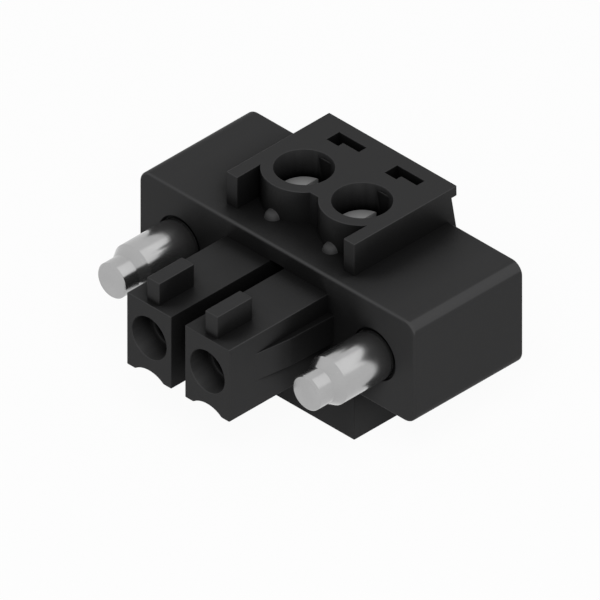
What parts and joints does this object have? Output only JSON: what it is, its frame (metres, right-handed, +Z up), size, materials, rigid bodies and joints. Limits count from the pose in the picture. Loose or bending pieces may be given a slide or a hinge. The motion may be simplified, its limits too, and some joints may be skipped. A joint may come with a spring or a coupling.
{
  "type": "pcb connector",
  "caption": "Pluggable screw-clamp wire connector for a board header, with box fingers, coding tabs and a captive screw in the flange at each end.",
  "frame": {"origin": "middle of the underside of the box that holds the whole plug, with the lower body standing on Z = 0", "axes": "+X along the row of poles from pole 1 to pole 2, -Y is the mating side with the fingers and screw points, +Y is the wire side, +Z is up through the clamp screws"},
  "size_m": [0.018, 0.0162, 0.0111],
  "materials": {
    "housing_plastic": "fine moulded black",
    "contact_metal": "tin plated copper alloy",
    "cage_steel": "zinc plated",
    "screw_steel": "nickel plated, fine turned"
  },
  "bodies": {
    "housing": {"housing": "housing_plastic", "contact_1": "contact_metal", "contact_2": "contact_metal"},
    "clamp_cage_1": {"clamp_cage_1": "cage_steel"},
    "clamp_cage_2": {"clamp_cage_2": "cage_steel"},
    "clamp_screw_1": {"clamp_screw_1": "screw_steel"},
    "clamp_screw_2": {"clamp_screw_2": "screw_steel"},
    "flange_screw_left": {"flange_screw_left": "screw_steel"},
    "flange_screw_right": {"flange_screw_right": "screw_steel"}
  },
  "joints": [
    {"name": "clamp_screw_1_turn", "type": "hinge", "parent": "housing", "child": "clamp_screw_1", "pos_m": [-0.00191, 0.00212, 0.00965], "axis": [0, 0, -1], "range_deg": [0, 1800]},
    {"name": "clamp_screw_2_turn", "type": "hinge", "parent": "housing", "child": "clamp_screw_2", "pos_m": [0.00191, 0.00212, 0.00965], "axis": [0, 0, -1], "range_deg": [0, 1800]},
    {"name": "clamp_cage_1_lift", "type": "slide", "parent": "housing", "child": "clamp_cage_1", "axis": [0, 0, 1], "range_m": [0, 0.002]},
    {"name": "clamp_cage_2_lift", "type": "slide", "parent": "housing", "child": "clamp_cage_2", "axis": [0, 0, 1], "range_m": [0, 0.002]},
    {"name": "flange_screw_left_turn", "type": "hinge", "parent": "housing", "child": "flange_screw_left", "pos_m": [-0.00641, -0.00157, 0.0064], "axis": [0, -1, 0], "continuous": true},
    {"name": "flange_screw_right_turn", "type": "hinge", "parent": "housing", "child": "flange_screw_right", "pos_m": [0.00641, -0.00157, 0.0064], "axis": [0, -1, 0], "continuous": true}
  ],
  "couplings": [
    {"joint": "clamp_screw_1_turn", "follows": "clamp_cage_1_lift", "rad_per_m": 15708},
    {"joint": "clamp_screw_2_turn", "follows": "clamp_cage_2_lift", "rad_per_m": 15708}
  ]
}
